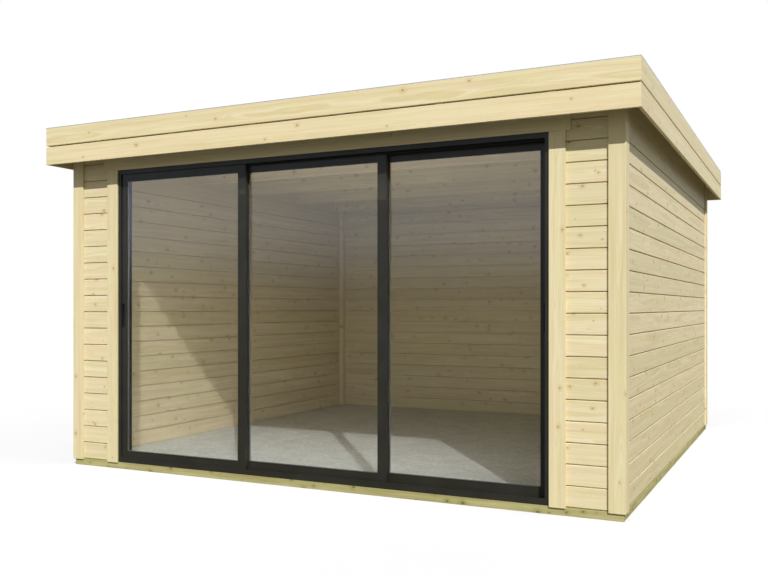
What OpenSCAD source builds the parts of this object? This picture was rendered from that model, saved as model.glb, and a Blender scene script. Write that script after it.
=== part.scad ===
// Garden shed with a flat roof and a three-track sliding glass door.
// Millimetres. X runs across the front, Y from front to back and Z up.
// The origin lies on the ground, under the middle of the roof's outline.
// Inside the modules Y is counted from the front face of the base frame.

/* [Footprint] */
// Width of the base frame, outside
base_w = 3800; // [3600:10:5000]
// Depth of the base frame, outside
base_d = 3850; // [3000:10:5000]

/* [Base and floor] */
// Height of the base beams
beam_h = 45; // [40:1:90]
// Thickness of the floor panels
floor_t = 20; // [16:1:28]
// Height of the floor surface above the base beams
floor_step = 3; // [0:0.5:6]
// Width of a floor bearer
bearer_w = 45; // [35:1:95]
// Largest spacing of the floor bearers
bearer_pitch = 620; // [400:10:800]

/* [Walls] */
// Thickness of the wall boards
wall_t = 44; // [34:1:70]
// Distance of the wall's face behind the base frame's face
wall_setback = 4; // [0:0.5:10]
// Height of the walls above the door's opening
head_wall_h = 233; // [200:1:500]
// Width of a post in an inner corner, across the shed
post_w = 45; // [35:1:70]
// Depth of a post in an inner corner, front to back
post_d = 60; // [35:1:70]

/* [Trim boards] */
// Width of the jamb and header boards and of the corner boards in front and at the back
trim_w = 90; // [70:1:120]
// Width of the corner boards on the side walls
side_trim_w = 81; // [60:1:120]
// Thickness of the trim boards
trim_t = 16; // [12:1:28]
// Length by which the upright trim boards lap over the base beams
trim_lap = 5; // [0:0.5:20]
// Length of the header board past each jamb board
header_past = 27; // [0:1:60]

/* [Roof] */
// Overhang of the roof past the base frame, at the sides
eave_side = 115; // [100:0.5:160]
// Overhang at the front
eave_front = 160; // [110:1:300]
// Overhang at the back
eave_back = 160; // [110:1:300]
// Thickness of the roof boarding
deck_t = 19; // [15:1:28]
// Height of a roof joist
joist_h = 145; // [95:1:180]
// Width of a roof joist
joist_w = 45; // [35:1:70]
// Distance of the first joist behind the base frame's front
joist_first = 540; // [300:10:800]
// Spacing of the roof joists
joist_pitch = 770; // [500:10:900]
// Depth of the joist pockets in the side walls
joist_seat = 22; // [10:1:30]
// Thickness of the roof membrane
membrane_t = 3; // [1:0.5:6]

/* [Fascia] */
// Height of one fascia board
fascia_h = 122; // [100:1:135]
// Thickness of the fascia boards
fascia_t = 19; // [15:1:28]
// Gap between the upper and the lower board
fascia_gap = 9; // [4:0.5:12]
// Height of the upper board's top edge above the roof boarding
parapet_h = 49.5; // [30:0.5:70]
// Thickness of the fascia battens, away from the board
batten_t = 28; // [18:1:45]
// Width of the fascia battens
batten_w = 45; // [25:1:70]
// Distance of the battens' lower ends above the lower board's edge
batten_lift = 45; // [0:1:60]
// Distance of the first batten from the roof's corner
batten_inset = 460; // [200:10:600]
// Largest spacing of the battens
batten_pitch = 640; // [300:10:900]
// Thickness of the metal capping, on top
capping_t = 3.5; // [1:0.5:6]
// Thickness of the capping's inner leg
capping_leg_t = 2; // [1:0.5:4]
// Height of the capping's inner leg
capping_leg_h = 20; // [10:1:28]

/* [Door frame] */
// Width of the door frame, outside
door_w = 3015; // [2400:5:3080]
// Height of the door frame, outside
door_h = 2000; // [1900:5:2300]
// Fitting gap between the door frame and the wall, at the sides and above
door_fit = 2; // [0:0.5:6]
// Thickness of the sill's and the head's web
frame_web = 12; // [8:0.5:20]
// Thickness of the jambs' web
jamb_web = 5; // [3:0.5:8]
// Thickness of the lips that close the frame, in front and at the back
lip_t = 5; // [3:0.5:8]
// Height of the sill's lips above its web
sill_lip_h = 24; // [14:0.5:30]
// Height of the head's lips below its web
head_lip_h = 17; // [8:0.5:24]
// Width of the jambs' lips beside their web
jamb_lip = 19; // [10:0.5:22]
// Thickness of a track rib
rib_t = 4; // [2:0.5:6]
// Height of a track rib on the sill
rib_h = 9; // [7:0.5:12]
// Height of a guide rib under the head
guide_h = 19; // [14:0.5:22]
// Width of the studs beside the door frame
stud_w = 45; // [35:1:95]
// Height of the timber lintel over the door
lintel_h = 145; // [95:1:180]

/* [Sashes] */
// Thickness of a sash
sash_t = 26; // [24:0.5:34]
// Gap between sashes on neighbouring tracks
track_gap = 6; // [5:0.5:12]
// Running gap between a sash and the frame
run_gap = 5; // [5:0.5:10]
// Width of the stiles that close against the jambs
lock_stile = 58; // [50:1:80]
// Width of the stiles where two sashes meet
meeting_stile = 58; // [40:1:80]
// Height of a bottom rail
bottom_rail = 62; // [45:1:100]
// Height of a top rail
top_rail = 62; // [45:1:100]
// Bevel on the outer edges of the sash profiles
sash_bevel = 1.5; // [0.5:0.5:3]
// Width of the track groove in the rails
groove_w = 14; // [12:0.5:16]
// Depth of the track groove in the rails
groove_d = 24; // [22:0.5:28]
// Thickness of the glass
glass_t = 6; // [4:0.5:8]
// Distance of the glass behind the sash's face
glass_recess = 4; // [3:0.5:14]
// Depth of the glass pocket in the profiles
pocket_d = 12; // [8:0.5:14]
// Play between the glass's edge and the bottom of its pocket
glass_play = 3; // [1:0.5:5]

/* [Rollers and pulls] */
// Diameter of a roller
roller_d = 16; // [12:0.5:18]
// Width of a roller
roller_w = 8; // [5:0.5:9]
// Diameter of a roller's axle
axle_d = 5; // [3:0.5:8]
// Distance of a roller from the sash's end
roller_inset = 120; // [60:5:300]
// Running clearance between a roller and its track rib
roller_gap = 0.3; // [0.2:0.1:1]
// Length of a flush pull
pull_h = 170; // [120:5:220]
// Width of a flush pull
pull_w = 28; // [18:0.5:32]
// Depth of the flush pull behind the sash's face
pull_d = 12; // [8:0.5:14]
// Wall of the flush pull
pull_wall = 1.5; // [1:0.5:3]
// Width of the flange round the flush pull
pull_flange = 2; // [1:0.5:4]
// Height of the flange above the sash's face
pull_proud = 1; // [0.5:0.1:1]
// Height of the pulls' middle above the ground
pull_z = 1050; // [900:10:1200]
// Distance of the pulls' middle from the sash's edge
pull_from_edge = 28.5; // [26:0.5:32]

/* [Hidden] */

$fn = 48;
// Overlap of a cutting shape past the face that it opens
cut = 1;

// Footprint and base
half_w = base_w / 2;
roof_d = base_d + eave_front + eave_back;
front_y = eave_front - roof_d / 2;
beam_w = wall_setback + wall_t;
floor_top = beam_h + floor_step;
bearer_h = floor_top - floor_t;

// Walls: outer face, inner face, back
face_x = half_w - wall_setback;
room_x = half_w - beam_w;
room_back = base_d - beam_w;
trim_bottom = beam_h - trim_lap;

// Door frame, from the sill upwards, and the walls' top over it
frame_x = door_w / 2;
frame_d = 2 * (lip_t + run_gap) + 3 * sash_t + 2 * track_gap;
frame_top = beam_h + door_h;
opening_x = frame_x + door_fit;
opening_top = frame_top + door_fit;
wall_top = opening_top + head_wall_h;
web_top = beam_h + frame_web;
web_under = frame_top - frame_web;

// Bearers behind the sill
bearer_first = frame_d + bearer_w;
bearer_run = room_back - bearer_w - bearer_first;
bearer_n = ceil(bearer_run / bearer_pitch) + 1;

// Roof
roof_x = half_w + eave_side;
deck_top = wall_top + deck_t;
fascia_top = deck_top + parapet_h;
fascia_upper = fascia_top - fascia_h;
fascia_bottom = fascia_upper - fascia_gap - fascia_h;
membrane_in = fascia_t + membrane_t;
joist_bottom = wall_top - joist_h;
joist_room = room_back - post_d - joist_w - joist_first;
joist_n = floor(joist_room / joist_pitch) + 1;

// Sashes: 0 is the outer track and 2 the inner one
sash_bottom = web_top + run_gap;
sash_top = web_under - run_gap;
sash_h = sash_top - sash_bottom;
sash_edge = frame_x - jamb_web - run_gap;
sash_w = (2 * sash_edge + 2 * meeting_stile) / 3;
roller_z = web_top + rib_h + roller_gap + roller_d / 2;
function sash_y(track) = lip_t + run_gap + track * (sash_t + track_gap);
function sash_x(track) = -sash_edge + track * (sash_w - meeting_stile);
function left_stile(track) = track == 0 ? lock_stile : meeting_stile;
function right_stile(track) = track == 2 ? lock_stile : meeting_stile;
function joist_y(i) = joist_first + i * joist_pitch;

SPRUCE = "#ECDEB4";
SPRUCE_SIDE = "#DCCFA2";
TREATED = "#BDB878";
FLOOR_GREY = "#AAA899";
ANTHRACITE = "#33343A";
MEMBRANE = "#3C3D3E";
ZINC = "#8D9092";
TINT = [0.62, 0.66, 0.64, 0.45];

// ---- helpers ----

// Moves a shape from the base frame's front to the model's origin
module placed() { translate([0, front_y, 0]) children(); }

// A block between two values on each axis
module span(x, y, z) {
    translate([x[0], y[0], z[0]])
        cube([x[1] - x[0], y[1] - y[0], z[1] - z[0]]);
}

// Draws its children on the right and mirrored on the left
module both_sides() {
    children();
    mirror([1, 0, 0]) children();
}

// Extrudes a section drawn in Y and Z along X, centred
module along_x(length) {
    translate([-length / 2, 0, 0])
        rotate([90, 0, 90]) linear_extrude(length) children();
}

// A slot with round ends, upright in X and Z and open towards -Y
module upright_slot(w, h, d) {
    rotate([-90, 0, 0]) linear_extrude(d) {
        square([w, h - w], center = true);
        for (end = [-1, 1])
            translate([0, end * (h - w) / 2]) circle(d = w);
    }
}

// Cuts the seat of the base frame out of a board that laps over it
module over_base() {
    difference() {
        children();
        span([-half_w, half_w], [0, base_d], [-cut, beam_h]);
    }
}

// ---- base and floor ----

module base_beam_front() {
    color(TREATED) placed()
        span([-half_w, half_w], [0, beam_w], [0, beam_h]);
}

module base_beam_back() {
    color(TREATED) placed()
        span([-half_w, half_w], [room_back, base_d], [0, beam_h]);
}

module base_beams_side() {
    color(TREATED) placed() both_sides()
        span([room_x, half_w], [beam_w, room_back], [0, beam_h]);
}

module sill_bearer() {
    color(TREATED) placed()
        span([-room_x, room_x], [beam_w, frame_d], [0, beam_h]);
}

module floor_bearers() {
    color(TREATED) placed()
        for (i = [0 : bearer_n - 1]) {
            y = bearer_first + i * bearer_run / (bearer_n - 1);
            span([-room_x, room_x], [y, y + bearer_w], [0, bearer_h]);
        }
}

module floor_panel() {
    color(FLOOR_GREY) placed()
        span([-room_x, room_x], [frame_d, room_back], [bearer_h, floor_top]);
}

// ---- walls ----

module side_wall() {
    difference() {
        span([room_x, face_x], [wall_setback, base_d - wall_setback], [beam_h, wall_top]);
        for (i = [0 : joist_n - 1])
            span([room_x - cut, room_x + joist_seat], [joist_y(i), joist_y(i) + joist_w],
                 [joist_bottom, wall_top + cut]);
    }
}

module wall_right() { color(SPRUCE_SIDE) placed() side_wall(); }
module wall_left() { color(SPRUCE_SIDE) placed() mirror([1, 0, 0]) side_wall(); }

module wall_back() {
    color(SPRUCE_SIDE) placed()
        span([-room_x, room_x], [room_back, base_d - wall_setback], [beam_h, wall_top]);
}

module front_wall_side() {
    span([opening_x, room_x], [wall_setback, beam_w], [beam_h, wall_top]);
}

module front_wall_right() { color(SPRUCE) placed() front_wall_side(); }
module front_wall_left() { color(SPRUCE) placed() mirror([1, 0, 0]) front_wall_side(); }

module front_wall_head() {
    color(SPRUCE) placed()
        span([-opening_x, opening_x], [wall_setback, beam_w], [opening_top, wall_top]);
}

module corner_posts() {
    color(SPRUCE) placed() both_sides() {
        span([room_x - post_w, room_x], [beam_w, beam_w + post_d], [beam_h, wall_top]);
        span([room_x - post_w, room_x], [room_back - post_d, room_back], [floor_top, wall_top]);
    }
}

module door_studs() {
    color(SPRUCE) placed() both_sides()
        span([opening_x, opening_x + stud_w], [beam_w, frame_d], [beam_h, wall_top]);
}

module door_lintel() {
    color(SPRUCE) placed()
        span([-opening_x, opening_x], [beam_w, frame_d],
             [opening_top, opening_top + lintel_h]);
}

// ---- trim boards ----

module corner_board_face() {
    span([face_x + trim_t - trim_w, face_x + trim_t],
         [wall_setback - trim_t, wall_setback], [trim_bottom, wall_top]);
}

module corner_boards_front() {
    color(SPRUCE) placed() over_base() both_sides() corner_board_face();
}

module corner_boards_back() {
    color(SPRUCE) placed() over_base()
        translate([0, base_d, 0]) mirror([0, 1, 0]) both_sides() corner_board_face();
}

// The two boards on one side wall, behind the edges of the face boards
module corner_boards_side() {
    over_base() for (y = [wall_setback, base_d - wall_setback - side_trim_w])
        span([face_x, face_x + trim_t], [y, y + side_trim_w], [trim_bottom, wall_top]);
}

module corner_boards_right() { color(SPRUCE) placed() corner_boards_side(); }
module corner_boards_left() { color(SPRUCE) placed() mirror([1, 0, 0]) corner_boards_side(); }

module jamb_boards() {
    color(SPRUCE) placed() over_base() both_sides()
        span([frame_x, frame_x + trim_w], [wall_setback - trim_t, wall_setback],
             [trim_bottom, frame_top]);
}

module header_board() {
    half = frame_x + trim_w + header_past;
    color(SPRUCE) placed()
        span([-half, half], [wall_setback - trim_t, wall_setback],
             [frame_top, frame_top + trim_w]);
}

// ---- roof ----

module roof_joists() {
    half = room_x + joist_seat;
    color(SPRUCE_SIDE) placed()
        for (i = [0 : joist_n - 1])
            span([-half, half], [joist_y(i), joist_y(i) + joist_w], [joist_bottom, wall_top]);
}

// A block over the whole roof, its sides inset from the roof's outline
module roof_block(inset, z) {
    span([inset - roof_x, roof_x - inset],
         [inset - eave_front, base_d + eave_back - inset], z);
}

module roof_boarding() {
    color(SPRUCE_SIDE) placed() roof_block(fascia_t, [wall_top, deck_top]);
}

// A tray: a flat sheet with its edges turned up inside the fascia
module roof_membrane() {
    color(MEMBRANE) placed() difference() {
        roof_block(fascia_t, [deck_top, fascia_top]);
        roof_block(membrane_in, [deck_top + membrane_t, fascia_top + cut]);
    }
}

// An angle that covers the fascia's top edge and turns down inside
module edge_capping() {
    leg_bottom = fascia_top - capping_leg_h;
    color(ZINC) placed() difference() {
        union() {
            roof_block(0, [fascia_top, fascia_top + capping_t]);
            roof_block(membrane_in, [leg_bottom, fascia_top]);
        }
        roof_block(membrane_in + capping_leg_t, [leg_bottom - cut, fascia_top + capping_t + cut]);
    }
}

// ---- fascia ----

// Two boards, one over the other, mitred at both ends; the outer face is at Y = 0
module fascia_pair(half) {
    for (z = [fascia_bottom, fascia_upper])
        translate([0, 0, z]) linear_extrude(fascia_h)
            polygon([[-half, 0], [half, 0], [half - fascia_t, fascia_t], [fascia_t - half, fascia_t]]);
}

module fascia_front() {
    color(SPRUCE) placed() translate([0, -eave_front, 0]) fascia_pair(roof_x);
}

module fascia_back() {
    color(SPRUCE) placed()
        translate([0, base_d + eave_back, 0]) rotate(180) fascia_pair(roof_x);
}

module fascia_right() {
    color(SPRUCE_SIDE) translate([roof_x, 0, 0]) rotate(90) fascia_pair(roof_d / 2);
}

module fascia_left() {
    color(SPRUCE_SIDE) translate([-roof_x, 0, 0]) rotate(-90) fascia_pair(roof_d / 2);
}

// A row of upright battens behind one fascia; the board's back is at Y = 0
module batten_row(half) {
    run = 2 * (half - batten_inset);
    n = ceil(run / batten_pitch) + 1;
    for (i = [0 : n - 1]) {
        x = -run / 2 + i * run / (n - 1);
        span([x - batten_w / 2, x + batten_w / 2], [0, batten_t],
             [fascia_bottom + batten_lift, wall_top]);
    }
}

module fascia_battens() {
    color(SPRUCE_SIDE) {
        placed() {
            translate([0, fascia_t - eave_front, 0]) batten_row(roof_x);
            translate([0, base_d + eave_back - fascia_t, 0]) rotate(180) batten_row(roof_x);
        }
        translate([roof_x - fascia_t, 0, 0]) rotate(90) batten_row(roof_d / 2);
        translate([fascia_t - roof_x, 0, 0]) rotate(-90) batten_row(roof_d / 2);
    }
}

// ---- door frame ----

// A web with a lip at each edge, drawn in Y and Z with the web at the bottom
module channel_section(lip_h) {
    square([frame_d, frame_web]);
    for (y = [0, frame_d - lip_t])
        translate([y, 0]) square([lip_t, frame_web + lip_h]);
}

// One rib for each track, h above the web
module rib_section(h) {
    for (track = [0 : 2])
        translate([sash_y(track) + (sash_t - rib_t) / 2, 0])
            square([rib_t, frame_web + h]);
}

module door_sill() {
    color(ANTHRACITE) placed() translate([0, 0, beam_h]) {
        along_x(door_w) channel_section(sill_lip_h);
        along_x(door_w - 2 * jamb_web) rib_section(rib_h);
    }
}

module door_head() {
    color(ANTHRACITE) placed() translate([0, 0, frame_top]) mirror([0, 0, 1]) {
        along_x(door_w) channel_section(head_lip_h);
        along_x(door_w - 2 * jamb_web) rib_section(guide_h);
    }
}

module door_jambs() {
    lip_bottom = web_top + sill_lip_h;
    lip_top = web_under - head_lip_h;
    color(ANTHRACITE) placed() both_sides() {
        span([frame_x - jamb_web, frame_x], [lip_t, frame_d - lip_t], [web_top, web_under]);
        for (y = [0, frame_d - lip_t])
            span([frame_x - jamb_web - jamb_lip, frame_x], [y, y + lip_t],
                 [lip_bottom, lip_top]);
    }
}

// ---- sashes ----

// Section of a profile, w wide and with its glass pocket on the right;
// the outer edges at the left are bevelled
module profile_section(w) {
    b = sash_bevel;
    difference() {
        polygon([[b, 0], [w, 0], [w, sash_t], [b, sash_t], [0, sash_t - b], [0, b]]);
        translate([w - pocket_d, glass_recess]) square([pocket_d + cut, glass_t]);
    }
}

// An upright profile with its glass pocket on the right
module stile(w) { linear_extrude(sash_h) profile_section(w); }

// A rail with its glass pocket on top, lying along X
module rail(w, length) {
    rotate([90, 0, 90]) linear_extrude(length)
        mirror([1, -1]) profile_section(w);
}

// Two stiles and two rails; the left lower front corner is the origin
module sash_frame(track) {
    left = left_stile(track);
    right = right_stile(track);
    inner = sash_w - left - right;
    groove_y = (sash_t - groove_w) / 2;
    difference() {
        union() {
            stile(left);
            translate([sash_w, 0, 0]) mirror([1, 0, 0]) stile(right);
            translate([left, 0, 0]) rail(bottom_rail, inner);
            translate([left, 0, sash_h]) mirror([0, 0, 1]) rail(top_rail, inner);
        }
        for (z = [-cut, sash_h - groove_d])
            translate([-cut, groove_y, z])
                cube([sash_w + 2 * cut, groove_w, groove_d + cut]);
    }
}

// Places a sash, or what it carries, on its track
module on_track(track) {
    placed() translate([sash_x(track), sash_y(track), sash_bottom]) children();
}

// The glass of a sash, seated in the pockets of its profiles
module pane(track) {
    bite = pocket_d - glass_play;
    color(TINT) on_track(track)
        span([left_stile(track) - bite, sash_w - right_stile(track) + bite],
             [glass_recess, glass_recess + glass_t],
             [bottom_rail - bite, sash_h - top_rail + bite]);
}

// Two rollers on their axles, in the groove of the bottom rail
module roller_pair(track) {
    color("silver") on_track(track)
        for (x = [roller_inset, sash_w - roller_inset])
            translate([x, sash_t / 2, roller_z - sash_bottom]) rotate([90, 0, 0]) {
                cylinder(d = roller_d, h = roller_w, center = true);
                cylinder(d = axle_d, h = groove_w, center = true);
            }
}

// Middle of a flush pull, at the sash's face
module at_pull(track) {
    x = track == 0 ? pull_from_edge : sash_w - pull_from_edge;
    translate([x, 0, pull_z - sash_bottom]) children();
}

// The pocket in the stile that takes the cup of a flush pull
module pull_pocket(track) {
    w = pull_w - 2 * pull_flange;
    at_pull(track) translate([0, -cut, 0])
        upright_slot(w, pull_h - 2 * pull_flange, pull_d + cut);
}

// A cup with a thin flange round its mouth
module flush_pull(track) {
    cup_w = pull_w - 2 * pull_flange;
    cup_h = pull_h - 2 * pull_flange;
    color("#26272B") on_track(track) at_pull(track) difference() {
        union() {
            upright_slot(cup_w, cup_h, pull_d);
            translate([0, -pull_proud, 0]) upright_slot(pull_w, pull_h, pull_proud);
        }
        translate([0, -pull_proud - cut, 0])
            upright_slot(cup_w - 2 * pull_wall, cup_h - 2 * pull_wall,
                         pull_d + pull_proud + cut - pull_wall);
    }
}

module sash_left() {
    color(ANTHRACITE) on_track(0) difference() {
        sash_frame(0);
        pull_pocket(0);
    }
}

module sash_middle() { color(ANTHRACITE) on_track(1) sash_frame(1); }

module sash_right() {
    color(ANTHRACITE) on_track(2) difference() {
        sash_frame(2);
        pull_pocket(2);
    }
}

module glass_left() { pane(0); }
module glass_middle() { pane(1); }
module glass_right() { pane(2); }
module rollers_left() { roller_pair(0); }
module rollers_middle() { roller_pair(1); }
module rollers_right() { roller_pair(2); }
module pull_left() { flush_pull(0); }
module pull_right() { flush_pull(2); }

base_beam_front();
base_beam_back();
base_beams_side();
sill_bearer();
floor_bearers();
floor_panel();
wall_left();
wall_right();
wall_back();
front_wall_left();
front_wall_right();
front_wall_head();
corner_posts();
door_studs();
door_lintel();
corner_boards_front();
corner_boards_back();
corner_boards_left();
corner_boards_right();
jamb_boards();
header_board();
roof_joists();
roof_boarding();
roof_membrane();
edge_capping();
fascia_front();
fascia_back();
fascia_left();
fascia_right();
fascia_battens();
door_sill();
door_head();
door_jambs();
sash_left();
glass_left();
rollers_left();
pull_left();
sash_middle();
glass_middle();
rollers_middle();
sash_right();
glass_right();
rollers_right();
pull_right();
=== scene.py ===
"""Looks of a garden shed with a flat roof and a three-track sliding glass door.

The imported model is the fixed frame. Everything is in metres: X runs across the
front, Y from front to back and Z up, with the ground at Z = 0. Each finish is a
class that makes its material. Each sub-assembly is a class that holds its sizes,
makes its meshes and dresses them.
"""

import logging
import math
import random
from dataclasses import dataclass
from enum import Enum
from typing import Callable, Iterable, Optional

import bmesh
import bpy
from mathutils import Matrix, Vector


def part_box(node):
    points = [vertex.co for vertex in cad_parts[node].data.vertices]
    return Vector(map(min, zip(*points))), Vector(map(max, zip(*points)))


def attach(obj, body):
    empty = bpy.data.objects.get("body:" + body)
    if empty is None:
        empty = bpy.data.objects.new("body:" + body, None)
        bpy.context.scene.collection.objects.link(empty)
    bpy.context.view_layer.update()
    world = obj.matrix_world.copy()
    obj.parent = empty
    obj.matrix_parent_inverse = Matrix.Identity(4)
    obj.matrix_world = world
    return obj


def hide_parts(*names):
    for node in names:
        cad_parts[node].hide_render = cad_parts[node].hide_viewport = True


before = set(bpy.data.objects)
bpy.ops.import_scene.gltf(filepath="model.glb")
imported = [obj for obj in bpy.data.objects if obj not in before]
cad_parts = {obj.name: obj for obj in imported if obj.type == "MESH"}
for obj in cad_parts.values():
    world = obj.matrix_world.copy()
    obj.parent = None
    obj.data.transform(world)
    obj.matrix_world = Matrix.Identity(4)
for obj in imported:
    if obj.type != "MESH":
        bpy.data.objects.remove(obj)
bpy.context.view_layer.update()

LOG = logging.getLogger("garden_shed")
MM = 0.001
METRE_MM = 1000.0
# Points that are nearer than this are one
TINY = 0.01 * MM
# How far a cutter reaches past what it cuts
PAST = 1 * MM
# How wide a planed edge is rounded, and the angle from which an edge is sharp
EASE = 2 * MM
SHARP_ANGLE = 0.5
# Where a board lies in its log: metres along it, and millimetres from its pith
LOG_PLACES = (1, 40)
PITH_ASIDE_MM = (-45, 45)
PITH_BEHIND_MM = (25, 95)
# How many times wider than it is an upright face counts
UPRIGHT_LEAD = 2.5

Box = tuple[Vector, Vector]
Piece = bpy.types.Object
Socket = bpy.types.NodeSocket


class Run(Enum):
    """The axis along which a board lies, and so its grain."""

    ACROSS = 0
    DEEP = 1
    UP = 2


class Body(Enum):
    """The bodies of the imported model."""

    SHED = "shed"
    LEFT = "left_sash"
    MIDDLE = "middle_sash"
    RIGHT = "right_sash"


class Slot(Enum):
    """Names of material slots, which nothing in this script uses."""

    SPRUCE = "spruce"
    TREATED = "treated_timber"
    ALUMINIUM = "anthracite_aluminium"


# ---------------------------------------------------------------- workshop


def select_only(piece: Piece) -> None:
    """Deselects everything, then selects one piece and makes it active.

    Args:
        piece: the piece that the next operator acts on.
    """
    if bpy.context.mode != "OBJECT":
        bpy.ops.object.mode_set(mode="OBJECT")
    bpy.ops.object.select_all(action="DESELECT")
    piece.select_set(True)
    bpy.context.view_layer.objects.active = piece


def settle(piece: Piece) -> Piece:
    """Puts a piece's place, turn and scale into its mesh.

    Args:
        piece: the piece to settle.

    Returns:
        The same piece, its object at the origin.
    """
    select_only(piece)
    bpy.ops.object.transform_apply(location=True, rotation=True, scale=True)
    return piece


def block(name: str, low: Iterable[float], high: Iterable[float]) -> Piece:
    """Adds a box between two corners, as the start of a board.

    Args:
        name: the new object's name.
        low: the box's lowest corner.
        high: the box's highest corner.

    Returns:
        The new piece, with its place in its mesh.
    """
    low, high = Vector(low), Vector(high)
    bpy.ops.object.select_all(action="DESELECT")
    bpy.ops.mesh.primitive_cube_add(size=1, location=(low + high) / 2)
    piece = bpy.context.active_object
    piece.name = piece.data.name = name
    piece.scale = high - low
    return settle(piece)


def edit(piece: Piece, kind: str, chosen: Callable[[object], bool]) -> None:
    """Opens edit mode with only the chosen vertices, edges or faces selected.

    Args:
        piece: the piece to edit.
        kind: "VERT", "EDGE" or "FACE".
        chosen: says of each element whether it is selected.
    """
    select_only(piece)
    bpy.ops.object.mode_set(mode="EDIT")
    bpy.ops.mesh.select_mode(type=kind)
    bpy.ops.mesh.select_all(action="DESELECT")
    shape = bmesh.from_edit_mesh(piece.data)
    elements = {"VERT": shape.verts, "EDGE": shape.edges, "FACE": shape.faces}[kind]
    for element in elements:
        if chosen(element):
            element.select_set(True)
    shape.select_flush_mode()
    bmesh.update_edit_mesh(piece.data)


def middle(element: object) -> Vector:
    """The mean of an edge's or a face's corners."""
    return sum((v.co for v in element.verts), Vector()) / len(element.verts)


def done() -> None:
    """Leaves edit mode."""
    bpy.ops.object.mode_set(mode="OBJECT")


def ease_edges(piece: Piece, width: float, segments: int = 2) -> Piece:
    """Rounds all sharp edges of a piece a little, as planing and sanding do.

    Args:
        piece: the piece to ease.
        width: the bevel's width.
        segments: the bevel's segments.

    Returns:
        The same piece.
    """
    edit(
        piece,
        "EDGE",
        lambda e: len(e.link_faces) == 2 and e.calc_face_angle() > SHARP_ANGLE,
    )
    bpy.ops.mesh.bevel(offset=width, segments=segments, affect="EDGES")
    done()
    return piece


def cut_off(piece: Piece, point: Iterable[float], outward: Iterable[float]) -> None:
    """Cuts a piece at a plane, drops what lies beyond it and closes the cut.

    Args:
        piece: the piece to cut.
        point: a point on the plane.
        outward: the plane's normal, towards what goes.
    """
    edit(piece, "FACE", lambda f: True)
    bpy.ops.mesh.bisect(
        plane_co=tuple(point), plane_no=tuple(outward), use_fill=True, clear_outer=True
    )
    done()


def repeat(piece: Piece, count: int, step: Iterable[float]) -> None:
    """Copies a piece in a row, as one object.

    Args:
        piece: the piece to copy.
        count: how many there are in the end.
        step: the way from one to the next.
    """
    select_only(piece)
    row = piece.modifiers.new("row", "ARRAY")
    row.count = count
    row.use_relative_offset = False
    row.use_constant_offset = True
    row.constant_offset_displace = tuple(step)
    bpy.ops.object.modifier_apply(modifier=row.name)


def carve(piece: Piece, tools: list[Piece]) -> Piece:
    """Cuts other shapes out of a piece and removes them.

    Args:
        piece: the piece that is cut.
        tools: the shapes to take out.

    Returns:
        The same piece.
    """
    for tool in tools:
        select_only(piece)
        cut = piece.modifiers.new("cut", "BOOLEAN")
        cut.operation = "DIFFERENCE"
        cut.solver = "EXACT"
        cut.object = tool
        bpy.ops.object.modifier_apply(modifier=cut.name)
        bpy.data.objects.remove(tool)
    return piece


def join(name: str, parts: list[Piece]) -> Piece:
    """Makes one piece of several.

    Args:
        name: the name of the joined piece.
        parts: the pieces to join.

    Returns:
        The joined piece.
    """
    select_only(parts[0])
    for part in parts[1:]:
        part.select_set(True)
    if len(parts) > 1:
        bpy.ops.object.join()
    piece = bpy.context.view_layer.objects.active
    piece.name = piece.data.name = name
    return piece


def solids(node: str) -> list[Box]:
    """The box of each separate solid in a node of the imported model.

    Args:
        node: the node's name.

    Returns:
        The boxes, in order of their lowest corners.
    """
    shape = bmesh.new()
    shape.from_mesh(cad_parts[node].data)
    bmesh.ops.remove_doubles(shape, verts=shape.verts, dist=TINY)
    boxes, seen = [], set()
    for start in shape.verts:
        if start in seen:
            continue
        seen.add(start)
        island, queue = [], [start]
        while queue:
            vert = queue.pop()
            island.append(vert.co.copy())
            for edge in vert.link_edges:
                other = edge.other_vert(vert)
                if other not in seen:
                    seen.add(other)
                    queue.append(other)
        low = Vector(min(co[axis] for co in island) for axis in range(3))
        high = Vector(max(co[axis] for co in island) for axis in range(3))
        boxes.append((low, high))
    shape.free()
    # Corners within a tenth of a millimetre count as level
    return sorted(boxes, key=lambda b: tuple(round(c, 4) for c in b[0]))


def mark_grain(
    piece: Piece, run: Run, dice: random.Random, stack: int = 1, size: int = 0
) -> Piece:
    """Gives each board of a piece its own place in a log and its own tint.

    The point attribute "grain" holds metres along the log, across the board's
    wide face and through it, the last two from the pith. "tint" is from 0 to 1.

    Args:
        piece: the piece, whose boards follow each other in its vertex list.
        run: the axis of the grain.
        dice: the random numbers.
        stack: how many boards there are.
        size: vertices of each board; all of them where there is one board.

    Returns:
        The same piece.
    """
    mesh = piece.data
    size = size or len(mesh.vertices)
    for name, kind in (("grain", "FLOAT_VECTOR"), ("tint", "FLOAT")):
        mesh.attributes.new(name, kind, "POINT")
    grain, tint = mesh.attributes["grain"], mesh.attributes["tint"]
    along, up = run.value, Run.UP.value
    for board in range(stack):
        points = range(board * size, min((board + 1) * size, len(mesh.vertices)))
        spots = [mesh.vertices[i].co for i in points]
        centre = sum(spots, Vector()) / len(spots)
        extent = {
            axis: max(co[axis] for co in spots) - min(co[axis] for co in spots)
            for axis in range(3)
            if axis != along
        }
        # A beam that is nearly square shows its knots on its upright faces
        if up in extent:
            extent[up] *= UPRIGHT_LEAD
        through, side = sorted(extent, key=extent.__getitem__)
        shift = dice.uniform(*LOG_PLACES)
        pith_side = dice.uniform(*PITH_ASIDE_MM) * MM
        pith_through = dice.choice((-1, 1)) * dice.uniform(*PITH_BEHIND_MM) * MM
        shade = dice.random()
        for i, spot in zip(points, spots):
            grain.data[i].vector = (
                spot[along] + shift,
                spot[side] - centre[side] + pith_side,
                spot[through] - centre[through] + pith_through,
            )
            tint.data[i].value = shade
    return piece


# ---------------------------------------------------------------- finishes


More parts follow.
